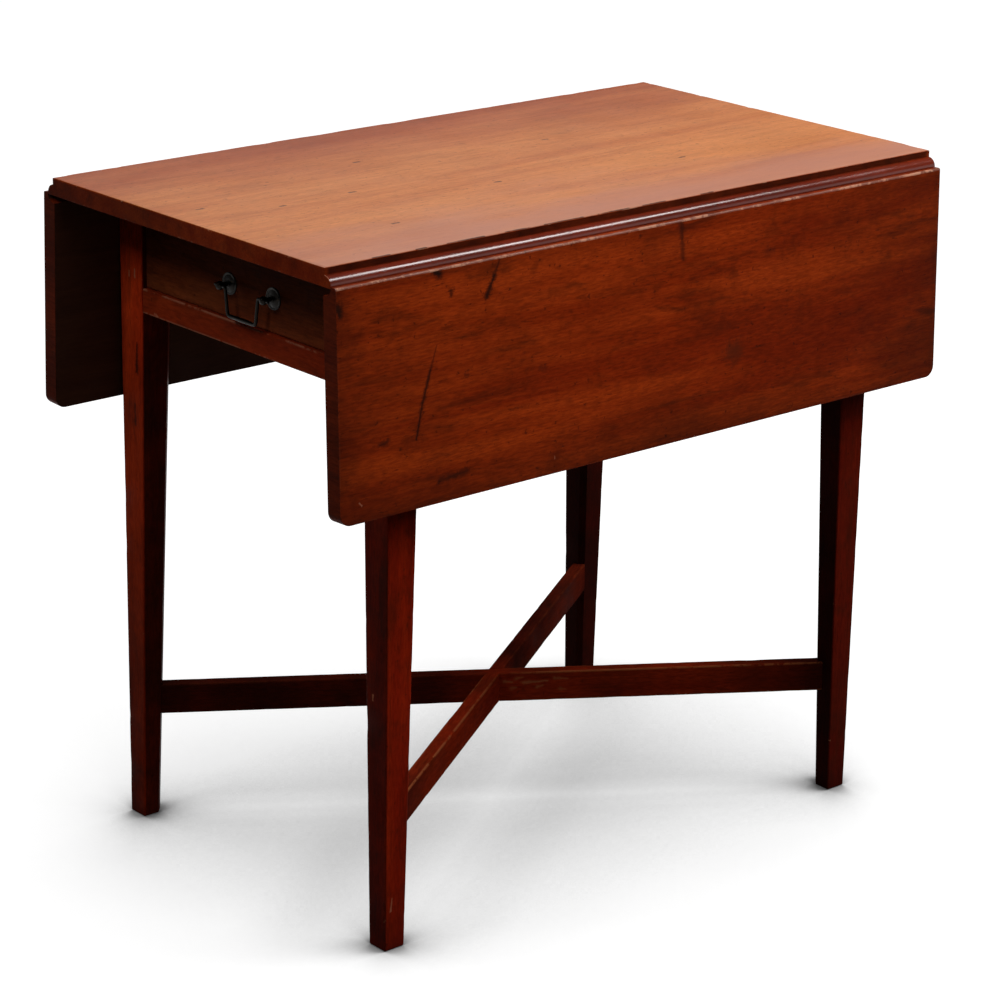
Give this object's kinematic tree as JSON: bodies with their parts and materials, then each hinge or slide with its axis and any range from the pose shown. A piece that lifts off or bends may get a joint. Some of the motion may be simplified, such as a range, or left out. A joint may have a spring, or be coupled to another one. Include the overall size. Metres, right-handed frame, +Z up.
{
  "type": "pembroke table",
  "caption": "Small drop-leaf table: rule-jointed hanging leaves, tapered square legs, crossed flat stretchers, an end drawer with a bail pull and fly brackets behind the leaves.",
  "frame": {"origin": "on the floor under the middle of the table, leaves hanging", "axes": "+X across the table towards one leaf, +Y along the table away from the drawer, +Z up"},
  "size_m": [0.4956, 0.818, 0.718],
  "materials": {
    "varnished_wood": "old varnish on cherry, worn at the edges",
    "bare_wood": "bare, aged secondary wood",
    "iron": "dark, lightly rusted",
    "old_brass": "dark patina, rubbed bright on the grip"
  },
  "bodies": {
    "frame": {"top_board": "varnished_wood", "leg_front_left": "varnished_wood", "leg_front_right": "varnished_wood", "leg_back_left": "varnished_wood", "leg_back_right": "varnished_wood", "drawer_rail_lower": "varnished_wood", "drawer_rail_upper": "varnished_wood", "back_rail": "varnished_wood", "stretcher_over": "varnished_wood", "stretcher_under": "varnished_wood", "side_rail_left": "bare_wood", "side_rail_right": "bare_wood", "fly_rail_hinge_left": "bare_wood", "fly_rail_hinge_right": "bare_wood", "fly_rail_stop_left": "bare_wood", "fly_rail_stop_right": "bare_wood", "drawer_runner_left": "bare_wood", "drawer_runner_right": "bare_wood", "drawer_kicker_left": "bare_wood", "drawer_kicker_right": "bare_wood", "drawer_stops": "bare_wood", "glue_blocks": "bare_wood", "fly_pin_left": "iron", "fly_pin_right": "iron", "hinge_top_plates_left": "iron", "hinge_top_plates_right": "iron", "hinge_pins_left": "iron", "hinge_pins_right": "iron", "hinge_top_screws_left": "iron", "hinge_top_screws_right": "iron", "top_screws": "iron"},
    "leaf_left": {"leaf_left": "varnished_wood", "hinge_leaf_plates_left": "iron", "hinge_leaf_screws_left": "iron"},
    "fly_left": {"fly_bracket_left": "bare_wood"},
    "leaf_right": {"leaf_right": "varnished_wood", "hinge_leaf_plates_right": "iron", "hinge_leaf_screws_right": "iron"},
    "fly_right": {"fly_bracket_right": "bare_wood"},
    "drawer": {"drawer_front": "varnished_wood", "drawer_side_left": "bare_wood", "drawer_side_right": "bare_wood", "drawer_back": "bare_wood", "drawer_bottom": "bare_wood", "drawer_bottom_nails": "iron", "pull_rosettes": "old_brass", "pull_posts": "old_brass", "pull_nuts": "old_brass"},
    "bail": {"pull_bail": "old_brass"}
  },
  "joints": [
    {"name": "leaf_right_drop", "type": "hinge", "parent": "frame", "child": "leaf_right", "pos_m": [0.223, 0, 0.7012], "axis": [0, -1, 0], "range_deg": [0, 88]},
    {"name": "fly_right_swing", "type": "hinge", "parent": "frame", "child": "fly_right", "pos_m": [0.2053, -0.1, 0], "axis": [0, 0, -1], "range_deg": [0, 2]},
    {"name": "leaf_left_drop", "type": "hinge", "parent": "frame", "child": "leaf_left", "pos_m": [-0.223, 0, 0.7012], "axis": [0, 1, 0], "range_deg": [0, 88]},
    {"name": "fly_left_swing", "type": "hinge", "parent": "frame", "child": "fly_left", "pos_m": [-0.2053, -0.1, 0], "axis": [0, 0, 1], "range_deg": [0, 2]},
    {"name": "drawer_slide", "type": "slide", "parent": "frame", "child": "drawer", "axis": [0, -1, 0], "range_m": [0, 0.4]},
    {"name": "bail_swing", "type": "hinge", "parent": "drawer", "child": "bail", "pos_m": [0, -0.3385, 0.634], "axis": [-1, 0, 0], "range_deg": [0, 175]}
  ]
}
